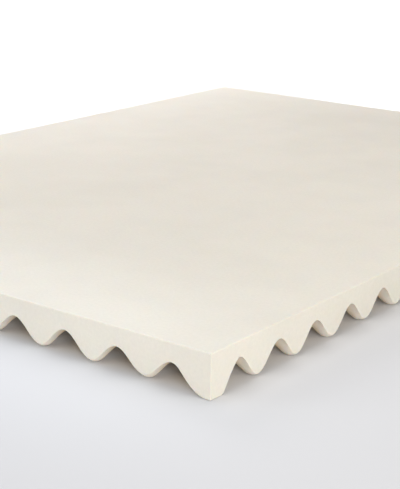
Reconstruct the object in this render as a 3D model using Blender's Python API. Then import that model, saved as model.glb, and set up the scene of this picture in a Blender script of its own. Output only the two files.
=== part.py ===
"""Convoluted foam mattress topper: one sheet of foam, flat on top, lobes and hollows underneath."""
from math import radians

import bmesh
import bpy

# Driving dimensions in metres. X runs along the short sides, Y along the long sides, Z up.
WIDTH = 1.372                # short side, a 54 in bed
LENGTH = 1.905               # long side, 75 in
THICKNESS = 0.0762           # 3 in, from the feet of the lobes to the flat top
BASE = 0.0232                # solid foam left above the hollows
SADDLE_HEIGHT = (THICKNESS - BASE) / 2   # lobes and hollows meet halfway, above the feet

# Rows of lobes and hollows, from the cut sides inwards.
EDGE_ROW_X = 0.0138          # cut long side to the middle of the outermost row
EDGE_ROW_Y = 0.0155          # the same from a cut short side
FIRST_HOLLOW_X = 0.075       # corner to the first hollow, along a short side
FIRST_HOLLOW_Y = 0.072       # corner to the first hollow, along a long side
GAPS_X = 22                  # half waves between the first and last hollow of a short side
GAPS_Y = 32                  # the same along a long side
FLAT_HALF = 0.006            # half the flat foot of a lobe, and of the flat top of a hollow

# The four corner lobes are broader: they reach the corner at full depth.
LEG_FLAT_X = 0.016           # their flat foot along the short side
LEG_FLAT_Y = 0.028           # and along the long side
LEG_SPREAD = 0.008           # how much further in their flanks end, at the cut side
LEG_SPREAD_INSIDE = 0.004    # the same at their inner corner

# Cut edges.
CORNER_RADIUS = 0.006        # upright corners
TOP_RADIUS = 0.003           # soft edge around the top
CORNER_STEPS = 3
TOP_STEPS = 2
MARGIN = 0.020               # how far the uncut sheet stands past the finished size
ROUND_BELOW = radians(55)    # faces that meet at less than this are one round surface

FOAM_COLOUR = (0.83, 0.79, 0.69, 1.0)
FOAM_ROUGHNESS = 0.95


def clear_scene():
    for item in list(bpy.data.objects):
        bpy.data.objects.remove(item, do_unlink=True)


def foam_material():
    material = bpy.data.materials.new("cream_foam")
    material.use_nodes = True
    shader = material.node_tree.nodes["Principled BSDF"]
    shader.inputs["Base Color"].default_value = FOAM_COLOUR
    shader.inputs["Roughness"].default_value = FOAM_ROUGHNESS
    shader.inputs["Metallic"].default_value = 0.0
    material.diffuse_color = FOAM_COLOUR
    return material


def new_object(name, bm):
    mesh = bpy.data.meshes.new(name)
    bm.to_mesh(mesh)
    bm.free()
    item = bpy.data.objects.new(name, mesh)
    bpy.context.scene.collection.objects.link(item)
    return item


def row_places(side, edge_row, first_hollow, gaps):
    """Middle of each row across one side of the sheet, counted from the side's middle."""
    step = (side - 2 * first_hollow) / gaps
    inner = [first_hollow - side / 2 + step * count for count in range(gaps + 1)]
    outer = side / 2 - edge_row
    return [-outer] + inner + [outer]


def row_borders(places):
    """Lines halfway between the rows, with one outside each cut side."""
    borders = [(a + b) / 2 for a, b in zip(places, places[1:])]
    outside = 2 * places[0] - borders[0]
    return [outside] + borders + [-outside]


def towards_middle(value, amount):
    return value - amount if value > 0 else value + amount


def border_point(borders_x, borders_y, i, j):
    """Point shared by four cells at saddle height; beside a corner lobe it stands further in."""
    x, y = borders_x[i], borders_y[j]
    ends_x = (0, len(borders_x) - 1)
    ends_y = (0, len(borders_y) - 1)
    beside_x = i in (1, ends_x[1] - 1)
    beside_y = j in (1, ends_y[1] - 1)
    if beside_x and beside_y:
        x = towards_middle(x, LEG_SPREAD_INSIDE)
        y = towards_middle(y, LEG_SPREAD_INSIDE)
    elif beside_x and j in ends_y:
        x = towards_middle(x, LEG_SPREAD)
    elif beside_y and i in ends_x:
        y = towards_middle(y, LEG_SPREAD)
    return (x, y, SADDLE_HEIGHT)


def flat_span(places, borders, index, leg_inset, is_leg):
    """Lowest and highest place of a cell's flat middle, along one direction."""
    if not is_leg:
        return places[index] - FLAT_HALF, places[index] + FLAT_HALF
    if index == 0:
        return borders[0] + FLAT_HALF, -leg_inset
    return leg_inset, borders[-1] - FLAT_HALF


def add_cell(bm, corners, span_x, span_y, height):
    """One lobe or hollow: four flanks from saddle height to a flat middle."""
    (x0, x1), (y0, y1) = span_x, span_y
    flat = [bm.verts.new((x, y, height)) for x, y in ((x0, y0), (x0, y1), (x1, y1), (x1, y0))]
    bm.faces.new(flat)
    for a in range(4):
        b = (a + 1) % 4
        bm.faces.new((corners[a], corners[b], flat[b], flat[a]))


def add_underside(bm):
    """Lobes and hollows in turn over the whole sheet, a lobe at each corner."""
    places_x = row_places(WIDTH, EDGE_ROW_X, FIRST_HOLLOW_X, GAPS_X)
    places_y = row_places(LENGTH, EDGE_ROW_Y, FIRST_HOLLOW_Y, GAPS_Y)
    borders_x, borders_y = row_borders(places_x), row_borders(places_y)
    shared = [[bm.verts.new(border_point(borders_x, borders_y, i, j)) for j in range(len(borders_y))]
              for i in range(len(borders_x))]
    last_x, last_y = len(places_x) - 1, len(places_y) - 1
    for i in range(last_x + 1):
        for j in range(last_y + 1):
            is_leg = i in (0, last_x) and j in (0, last_y)
            is_lobe = (i + j) % 2 == 0
            corners = (shared[i][j], shared[i][j + 1], shared[i + 1][j + 1], shared[i + 1][j])
            add_cell(bm, corners,
                     flat_span(places_x, borders_x, i, WIDTH / 2 - LEG_FLAT_X, is_leg),
                     flat_span(places_y, borders_y, j, LENGTH / 2 - LEG_FLAT_Y, is_leg),
                     0.0 if is_lobe else THICKNESS - BASE)


def close_above(bm):
    """Sides and top of the uncut sheet, past the finished size."""
    rim = [edge for edge in bm.edges if edge.is_boundary]
    raised = bmesh.ops.extrude_edge_only(bm, edges=rim)["geom"]
    for vert in (item for item in raised if isinstance(item, bmesh.types.BMVert)):
        vert.co.z = THICKNESS + MARGIN
    upper = [item for item in raised if isinstance(item, bmesh.types.BMEdge) and item.is_boundary]
    bmesh.ops.edgeloop_fill(bm, edges=upper)
    bmesh.ops.recalc_face_normals(bm, faces=bm.faces)


def uncut_sheet():
    bm = bmesh.new()
    add_underside(bm)
    close_above(bm)
    return new_object("foam_topper", bm)


def is_upright(edge):
    return abs(edge.verts[0].co.z - edge.verts[1].co.z) > THICKNESS / 2


def lies_on_top(edge):
    return min(vert.co.z for vert in edge.verts) > THICKNESS - TOP_RADIUS / 2


def cut_outline():
    """The finished size with rounded upright corners and a soft edge around the top."""
    bm = bmesh.new()
    bmesh.ops.create_cube(bm, size=1.0)
    bmesh.ops.scale(bm, vec=(WIDTH, LENGTH, THICKNESS + MARGIN), verts=bm.verts)
    bmesh.ops.translate(bm, vec=(0, 0, (THICKNESS - MARGIN) / 2), verts=bm.verts)
    bmesh.ops.bevel(bm, geom=[edge for edge in bm.edges if is_upright(edge)], offset=CORNER_RADIUS,
                    segments=CORNER_STEPS, profile=0.5, affect="EDGES")
    bmesh.ops.bevel(bm, geom=[edge for edge in bm.edges if lies_on_top(edge)], offset=TOP_RADIUS,
                    segments=TOP_STEPS, profile=0.5, affect="EDGES")
    return new_object("cut_outline", bm)


def trim(sheet, outline):
    cut = sheet.modifiers.new("cut_to_size", "BOOLEAN")
    cut.operation = "INTERSECT"
    cut.object = outline
    cut.solver = "EXACT"


def keep_cut_shape(sheet, outline):
    """Turn the trimmed shape into the sheet's own mesh, so that its cut edges can be shaded sharp."""
    graph = bpy.context.evaluated_depsgraph_get()
    cut_mesh = bpy.data.meshes.new_from_object(sheet.evaluated_get(graph))
    sheet.modifiers.clear()
    sheet.data = cut_mesh
    bpy.data.objects.remove(outline, do_unlink=True)


def shade_round(sheet):
    """Lobes and hollows are round, while the cut sides meet them at a sharp edge."""
    sheet.data.shade_smooth()
    sheet.data.set_sharp_from_angle(angle=ROUND_BELOW)


def build():
    clear_scene()
    sheet = uncut_sheet()
    sheet.data.materials.append(foam_material())
    outline = cut_outline()
    trim(sheet, outline)
    keep_cut_shape(sheet, outline)
    shade_round(sheet)


build()
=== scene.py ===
import math

import bpy
import numpy as np
from mathutils import Matrix, Vector


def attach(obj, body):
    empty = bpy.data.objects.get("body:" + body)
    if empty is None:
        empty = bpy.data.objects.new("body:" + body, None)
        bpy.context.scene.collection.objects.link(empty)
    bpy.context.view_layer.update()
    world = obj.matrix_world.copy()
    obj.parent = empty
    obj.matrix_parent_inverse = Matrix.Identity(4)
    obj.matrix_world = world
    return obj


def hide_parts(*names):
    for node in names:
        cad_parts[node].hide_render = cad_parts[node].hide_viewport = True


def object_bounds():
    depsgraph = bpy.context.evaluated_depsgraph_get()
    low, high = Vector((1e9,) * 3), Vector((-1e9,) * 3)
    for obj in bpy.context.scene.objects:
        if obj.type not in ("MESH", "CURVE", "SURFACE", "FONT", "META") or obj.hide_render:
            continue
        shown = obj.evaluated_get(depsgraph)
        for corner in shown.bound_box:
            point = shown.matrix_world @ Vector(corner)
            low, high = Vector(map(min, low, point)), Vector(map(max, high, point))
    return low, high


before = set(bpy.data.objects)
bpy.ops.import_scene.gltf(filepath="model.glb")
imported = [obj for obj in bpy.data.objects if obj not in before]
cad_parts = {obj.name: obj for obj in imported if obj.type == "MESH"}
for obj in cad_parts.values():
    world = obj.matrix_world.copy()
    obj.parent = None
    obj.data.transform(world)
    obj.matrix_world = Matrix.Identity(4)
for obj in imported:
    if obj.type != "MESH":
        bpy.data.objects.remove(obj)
cadLow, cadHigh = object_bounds()
sheetWidth, sheetLength, sheetThickness = cadHigh - cadLow
print("frame loaded, the sheet is", [round(side, 4) for side in cadHigh - cadLow])


def linkNew(name, data):
    item = bpy.data.objects.new(name, data)
    bpy.context.scene.collection.objects.link(item)
    return item


photoCamera = {
    "place": (1.7706, -2.4222, 0.784),
    "turned": 37.016,      # degrees round the vertical, away from straight across a short side
    "lookingDown": 16.455,
    "leaning": 0.798,
    "lens": 97.085,
    "farClip": 100,        # metres
}


def addCamera(camera):
    item = linkNew("photoCamera", bpy.data.cameras.new("photoCamera"))
    turn = Matrix.Rotation(math.radians(camera["turned"]), 4, "Z")
    tilt = Matrix.Rotation(math.radians(90 - camera["lookingDown"]), 4, "X")
    lean = Matrix.Rotation(math.radians(camera["leaning"]), 4, "Z")
    item.matrix_world = Matrix.Translation(camera["place"]) @ turn @ tilt @ lean
    item.data.lens = camera["lens"]
    item.data.clip_end = camera["farClip"]
    bpy.context.scene.camera = item


addCamera(photoCamera)
print("camera placed")


# Pairs of values are along a short and along a long side of the sheet.
foamShape = {
    "outerRow": (0.0138, 0.0155),    # cut side to the middle of the outermost row of lobes
    "firstHollow": (0.075, 0.072),   # corner to the first hollow
    "gaps": (22, 32),                # steps from lobe to hollow
    "middleDepth": 0.0497,           # below the top, where lobes and hollows meet
    "legFoot": (0.008, 0.033),       # flat foot of a corner lobe
    "legSteady": (0.7, 0.78),        # share of its flank that bends evenly, the rest is a late dive
    "legKnee": (1.0, 0.56),          # below 1, its foot ends in a sharper bend
    "legDive": 6,                    # how late the dive comes
    "legReach": 0.040,               # where its broad shape starts to fade into the rows
    "uneven": 0.0007,                # depth that differs from lobe to lobe
    "drift": 0.0012,                 # how far the rows wander
    "rippleStarts": (1.3, 4.1, 2.2),   # keep the drift across, the drift along and the depth apart
    "rim": (0.0, 0.0002, 0.0008, 0.002, 0.0065),   # lines of the mesh beside a cut side
    "topRounding": 0.0007,
    "lowerRounding": 0.0008,
    "wallMargin": 0.0015,            # upper and lower rows of faces on the cut sides
    "linesPerGap": 9,
    "topEvery": 4,                   # the flat top has one line for this many below
    "creaseAngle": 50,
}


def smoothStep(share):
    share = np.clip(share, 0, 1)
    return share * share * (3 - 2 * share)


def rowPlaces(shape, side, along):
    outer, first = shape["outerRow"][along], shape["firstHollow"][along]
    inner = np.linspace(first, side - first, shape["gaps"][along] + 1)
    return np.concatenate([[outer], inner, [side - outer]])


def meshLines(shape, side, along):
    rows = rowPlaces(shape, side, along)
    count = shape["linesPerGap"]
    inside = [a + (b - a) * step / count for a, b in zip(rows, rows[1:]) for step in range(count)]
    rim = np.array(shape["rim"])
    return np.concatenate([rim, inside, [rows[-1]], side - rim[::-1]])


# An angle for each place, counted from the nearer cut side: a hollow at pi, a lobe at 2 pi and so on.
def rowPhase(shape, place, side, along, nearCorner):
    rows = rowPlaces(shape, side, along)
    firstGap = rows[1] - rows[0]
    rows = np.concatenate([[rows[0] - firstGap], rows, [rows[-1] + firstGap]])
    plain = np.interp(place, rows, np.pi * (np.arange(len(rows)) - 1))
    fromEdge = np.minimum(place, side - place)
    foot = shape["legFoot"][along]
    flank = np.clip((fromEdge - foot) / (shape["firstHollow"][along] - foot), 0, 1)
    steady = shape["legSteady"][along]
    dive = (1 - steady) * flank ** shape["legDive"]
    leg = np.pi * (steady * flank ** shape["legKnee"][along] + dive)
    inLeg = fromEdge < shape["firstHollow"][along]
    plainNear = np.where(place < side / 2, plain, np.pi * (len(rows) - 3) - plain)
    return np.where(inLeg, plainNear * (1 - nearCorner) + leg * nearCorner, plainNear)


# Waves per metre along x and along y; together they never repeat over the sheet.
rippleWaves = ((3.1, 1.7), (-2.3, 4.3), (5.9, -3.7), (4.7, 6.1), (-8.3, 2.9), (7.1, 9.7))


def ripple(x, y, start):
    total = sum(np.sin(2 * np.pi * (x * a + y * b) + start * (a - b)) for a, b in rippleWaves)
    return total / len(rippleWaves) ** 0.5


# Thickness of the foam at each place; towards a corner the rows give way to one broad lobe.
def foamDepth(shape, x, y):
    acrossStart, alongStart, depthStart = shape["rippleStarts"]
    x = np.clip(x + shape["drift"] * ripple(x, y, acrossStart), 0, sheetWidth)
    y = np.clip(y + shape["drift"] * ripple(x, y, alongStart), 0, sheetLength)
    edgeX, edgeY = np.minimum(x, sheetWidth - x), np.minimum(y, sheetLength - y)
    reachX, reachY = (first - shape["legReach"] for first in shape["firstHollow"])
    nearX = smoothStep((shape["firstHollow"][1] - edgeY) / reachY)
    nearY = smoothStep((shape["firstHollow"][0] - edgeX) / reachX)
    phaseX = rowPhase(shape, x, sheetWidth, 0, nearX)
    phaseY = rowPhase(shape, y, sheetLength, 1, nearY)
    lobe = (sheetThickness - shape["middleDepth"]) * np.cos(phaseX) * np.cos(phaseY)
    depth = shape["middleDepth"] + lobe + shape["uneven"] * ripple(x, y, depthStart)
    return np.minimum(depth, sheetThickness)


def rounding(radius, fromEdge):
    share = np.clip(1 - fromEdge / radius, 0, 1)
    return radius * (1 - np.sqrt(1 - share * share))


# One closed mesh: the waves below, the four cut sides and the flat top, which has fewer lines.
def buildFoam(shape):
    linesX, linesY = meshLines(shape, sheetWidth, 0), meshLines(shape, sheetLength, 1)
    x, y = np.meshgrid(linesX, linesY, indexing="ij")
    edge = np.minimum(np.minimum(x, sheetWidth - x), np.minimum(y, sheetLength - y))
    below = sheetThickness - foamDepth(shape, x, y) + rounding(shape["lowerRounding"], edge)
    above = sheetThickness - rounding(shape["topRounding"], edge)
    flatX, flatY = x - sheetWidth / 2, y - sheetLength / 2
    lastX, lastY = len(linesX) - 1, len(linesY) - 1

    places, numbers, faces = [], {}, []

    def vertex(i, j, level):
        key = (i, j, level)
        if key not in numbers:
            low, high, margin = below[i, j], above[i, j], shape["wallMargin"]
            heights = {"below": low, "lowWall": low + margin, "highWall": high - margin, "above": high}
            numbers[key] = len(places)
            places.append((flatX[i, j], flatY[i, j], heights[level]))
        return numbers[key]

    for i in range(lastX):
        for j in range(lastY):
            cell = ((i, j), (i, j + 1), (i + 1, j + 1), (i + 1, j))
            faces.append([vertex(a, b, "below") for a, b in cell])

    loop = ([(i, 0) for i in range(lastX)] + [(lastX, j) for j in range(lastY)]
            + [(i, lastY) for i in range(lastX, 0, -1)] + [(0, j) for j in range(lastY, 0, -1)])
    for lower, upper in (("below", "lowWall"), ("lowWall", "highWall"), ("highWall", "above")):
        for a, b in zip(loop, loop[1:] + loop[:1]):
            faces.append([vertex(*a, lower), vertex(*b, lower), vertex(*b, upper), vertex(*a, upper)])

    rimCount = len(shape["rim"])

    def topLines(last):
        middle = list(range(rimCount, last - rimCount, shape["topEvery"]))
        return list(range(rimCount)) + middle + list(range(last - rimCount + 1, last + 1))

    columns, bands = topLines(lastX), topLines(lastY)
    for a, b in zip(columns, columns[1:]):
        for c, d in zip(bands, bands[1:]):
            near = [(i, c) for i in (range(a, b) if c == 0 else (a,))]
            right = [(b, j) for j in (range(c, d) if b == lastX else (c,))]
            far = [(i, d) for i in (range(b, a, -1) if d == lastY else (b,))]
            left = [(a, j) for j in (range(d, c, -1) if a == 0 else (d,))]
            faces.append([vertex(i, j, "above") for i, j in near + right + far + left])

    mesh = bpy.data.meshes.new("foamSheet")
    mesh.from_pydata(places, [], faces)
    mesh.update()
    mesh.shade_smooth()
    mesh.set_sharp_from_angle(angle=math.radians(shape["creaseAngle"]))
    return linkNew("foamSheet", mesh)


foamSheet = buildFoam(foamShape)
print("foam sheet built,", len(foamSheet.data.polygons), "faces")


foamFinish = {
    "colour": (0.80, 0.755, 0.665, 1),
    "paintedBounceColour": (0.87, 0.80, 0.69, 1),   # painted bounce light: a warmer tone on faces of lobes and hollows turned down, beside a cut side
    "paintedShadeColour": (0.82, 0.64, 0.41, 1),   # painted shade: the same further in, a darker brown where the hollows lie deep in shade
    "deepSpan": (0.010, 0.036),   # from the cut side, where the painted shade starts and is fully reached
    "paintedShadeSlope": (-0.05, -0.45),  # how far a face turns down before the painted tone shows, in part and fully
    "darkPatch": 0.965,           # broad patches, the darkest as a share of the colour
    "darkGrain": 0.95,            # the same for the grain of the foam
    "patchScale": 7,
    "patchDetail": 3.0,
    "patchSpan": (0.35, 0.65),    # noise values that give the darkest and the full colour
    "grainScale": 170,
    "grainDetail": 4.0,
    "grainRoughness": 0.65,
    "grainSpan": (0.3, 0.7),
    "poreScale": 700,
    "poreDepth": 0.6,             # relief of the pores, where the grain has 1
    "sawScale": 230,
    "sawWander": 3.0,
    "sawDetail": 2.0,
    "sawDepth": 0.25,             # relief of the saw lines on an upright face
    "sawSlope": 0.2,              # slope of a face where they end
    "bump": 0.5,
    "bumpDepth": 0.0004,
    "roughness": 0.95,
    "specular": 0.2,
    "scatter": 0.4,
    "scatterColour": (1.0, 0.62, 0.36),
    "scatterDepth": 0.0045,
}


def addNode(material, kind, inputs, **settings):
    node = material.node_tree.nodes.new(kind)
    for name, value in settings.items():
        setattr(node, name, value)
    for name, value in inputs.items():
        if isinstance(value, bpy.types.NodeSocket):
            material.node_tree.links.new(value, node.inputs[name])
        else:
            node.inputs[name].default_value = value
    return node


def remap(material, value, low, high, newLow, newHigh):
    inputs = {0: value, 1: low, 2: high, 3: newLow, 4: newHigh}
    return addNode(material, "ShaderNodeMapRange", inputs).outputs[0]


def combine(material, operation, first, second):
    return addNode(material, "ShaderNodeMath", {0: first, 1: second}, operation=operation).outputs[0]


def mixColours(material, share, first, second):
    return addNode(material, "ShaderNodeMix", {0: share, 6: first, 7: second},
                   data_type="RGBA").outputs[2]


def foamMaterial(finish):
    material = bpy.data.materials.new("creamFoam")
    material.use_nodes = True
    spot = addNode(material, "ShaderNodeTexCoord", {}).outputs["Object"]
    facing = addNode(material, "ShaderNodeNewGeometry", {}).outputs["Normal"]
    turned = addNode(material, "ShaderNodeSeparateXYZ", {0: facing}).outputs["Z"]

    patches = addNode(material, "ShaderNodeTexNoise", {
        "Vector": spot, "Scale": finish["patchScale"], "Detail": finish["patchDetail"]}).outputs[0]
    grain = addNode(material, "ShaderNodeTexNoise", {
        "Vector": spot, "Scale": finish["grainScale"], "Detail": finish["grainDetail"],
        "Roughness": finish["grainRoughness"]}).outputs[0]
    pores = addNode(material, "ShaderNodeTexVoronoi", {
        "Vector": spot, "Scale": finish["poreScale"]}).outputs["Distance"]
    saw = addNode(material, "ShaderNodeTexWave", {
        "Vector": spot, "Scale": finish["sawScale"], "Distortion": finish["sawWander"],
        "Detail": finish["sawDetail"]}, bands_direction="Z").outputs[1]

    # colour: one tone outside; faces turned down carry painted bounce light beside a cut side and
    # painted shade, a deeper brown, further into the hollows; all slightly patchy and grainy
    axes = addNode(material, "ShaderNodeSeparateXYZ", {0: spot}).outputs
    inside = [remap(material, combine(material, "ABSOLUTE", axes[along], 0.0),
                    side / 2 - finish["deepSpan"][0], side / 2 - finish["deepSpan"][1], 0.0, 1.0)
              for along, side in ((0, sheetWidth), (1, sheetLength))]
    # painted shade: the underside tone runs from the bounce tint beside a cut side to the brown shade
    # colour further in
    paintedUnderTone = mixColours(material, combine(material, "MINIMUM", *inside),
                      finish["paintedBounceColour"], finish["paintedShadeColour"])
    # only faces turned down take this painted tone
    paintedShadeMask = remap(material, turned, *finish["paintedShadeSlope"], 0.0, 1.0)
    toneWithPaintedShade = mixColours(material, paintedShadeMask, finish["colour"], paintedUnderTone)
    tone = combine(material, "MULTIPLY",
                   remap(material, patches, *finish["patchSpan"], finish["darkPatch"], 1.0),
                   remap(material, grain, *finish["grainSpan"], finish["darkGrain"], 1.0))
    colour = addNode(material, "ShaderNodeVectorMath", {0: toneWithPaintedShade, 3: tone},
                     operation="SCALE").outputs[0]

    # relief: grain and pores everywhere, faint saw lines on the cut sides
    upright = remap(material, combine(material, "ABSOLUTE", turned, 0.0),
                    0.0, finish["sawSlope"], finish["sawDepth"], 0.0)
    relief = combine(material, "ADD", combine(material, "MULTIPLY", pores, finish["poreDepth"]),
                     combine(material, "ADD", grain, combine(material, "MULTIPLY", saw, upright)))
    bump = addNode(material, "ShaderNodeBump", {"Height": relief, "Strength": finish["bump"],
                                                "Distance": finish["bumpDepth"]}).outputs[0]

    shader = material.node_tree.nodes["Principled BSDF"]
    material.node_tree.links.new(colour, shader.inputs["Base Color"])
    material.node_tree.links.new(bump, shader.inputs["Normal"])
    shader.inputs["Roughness"].default_value = finish["roughness"]
    shader.inputs["Specular IOR Level"].default_value = finish["specular"]
    shader.inputs["Subsurface Weight"].default_value = finish["scatter"]
    shader.inputs["Subsurface Radius"].default_value = finish["scatterColour"]
    shader.inputs["Subsurface Scale"].default_value = finish["scatterDepth"]
    return material


foamSheet.data.materials.append(foamMaterial(foamFinish))
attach(foamSheet, "root")
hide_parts("foam_topper")
print("foam material made")


studio = {
    "floorColour": (0.73, 0.73, 0.745, 1),
    "floorRoughness": 0.9,
    "floorHalf": 30,
    "skyStrength": 0.315,
    "openSpread": 180,     # degrees, for all lamps but those of the next line
    "spread": {"backdrop": 100, "sweepLeft": 90, "sweepRight": 90},
    # name: place, point it faces, width, depth, power in watts, colour
    "lamps": {
        "softbox": ((2.87, -2.81, 0.97), (0.686, -0.95, 0.04), 1.2, 1.2, 61.5, (0.99, 0.985, 1)),
        "leftFront": ((-1.6, -2.65, 0.75), (-0.4, -0.95, 0.04), 1.2, 1.2, 17, (0.96, 1, 0.96)),
        "rightSide": ((4.2, -0.3, 1.0), (0.686, -0.3, 0.05), 1.6, 1.6, 14, (1, 0.97, 0.7)),
        "rightCorner": ((2.1, -1.3, 0.5), (0.686, -0.88, 0.04), 0.6, 0.4, 1.3, (0.95, 1, 1)),
        "overhead": ((0, 0, 3.2), (0, 0, 0), 2.2, 2.2, 33.8, (1, 0.975, 0.975)),
        "farTop": ((-0.3, 0.5, 1.6), (-0.3, 0.5, 0), 1.6, 0.8, 1.7, (1, 0.98, 1)),
        "behindLeft": ((-2.4, 0.9, 1.8), (-0.6, 0.2, 0.075), 1.4, 1.4, 27, (1, 0.98, 1)),
        "backdrop": ((-2.35, 2.9, 1.6), (-2.45, 3.0, 0), 3.6, 3.8, 91, (1, 1, 0.98)),
        "sweepLeft": ((-1.15, 0.5, 0.55), (-1.15, 0.5, 0), 0.3, 0.9, 0.85, (1, 1, 1)),
        "sweepRight": ((-0.1, 1.38, 0.55), (-0.1, 1.38, 0), 0.9, 0.3, 1.35, (1, 1, 1)),
        "frontEdge": ((-0.15, -1.02, 0.36), (-0.15, -1.02, 0), 1.7, 0.3, 1.0, (0.72, 0.84, 1)),
        "leftEdge": ((-0.85, 0.1, 0.65), (-0.85, 0.1, 0), 0.4, 2.1, 1.1, (0.8, 0.85, 1)),
        "rightEdge": ((0.8, -0.1, 0.6), (0.8, -0.1, 0), 0.3, 2.0, 0.9, (1, 1, 0.95)),
    },
}


def addFloor(settings):
    mesh = bpy.data.meshes.new("floor")
    half = settings["floorHalf"]
    mesh.from_pydata([(-half, -half, 0), (half, -half, 0), (half, half, 0), (-half, half, 0)],
                     [], [(0, 1, 2, 3)])
    floor = linkNew("floor", mesh)
    material = bpy.data.materials.new("paleFloor")
    material.use_nodes = True
    shader = material.node_tree.nodes["Principled BSDF"]
    shader.inputs["Base Color"].default_value = settings["floorColour"]
    shader.inputs["Roughness"].default_value = settings["floorRoughness"]
    mesh.materials.append(material)


def addSky(settings):
    world = bpy.data.worlds.new("sky")
    world.use_nodes = True
    world.node_tree.nodes["Background"].inputs["Strength"].default_value = settings["skyStrength"]
    world.node_tree.nodes["Background"].inputs["Color"].default_value = (1, 1, 1, 1)
    bpy.context.scene.world = world


def addLamps(settings):
    for name, (place, target, width, depth, power, colour) in settings["lamps"].items():
        lamp = bpy.data.lights.new(name, "AREA")
        lamp.shape = "RECTANGLE"
        lamp.size, lamp.size_y = width, depth
        lamp.energy, lamp.color = power, colour
        lamp.spread = math.radians(settings["spread"].get(name, settings["openSpread"]))
        item = linkNew(name, lamp)
        item.location = place
        item.rotation_euler = (Vector(target) - Vector(place)).to_track_quat("-Z", "Y").to_euler()
        item.visible_camera = False


addFloor(studio)
addSky(studio)
addLamps(studio)
bpy.context.scene.view_settings.view_transform = "Standard"
print("floor and light set")
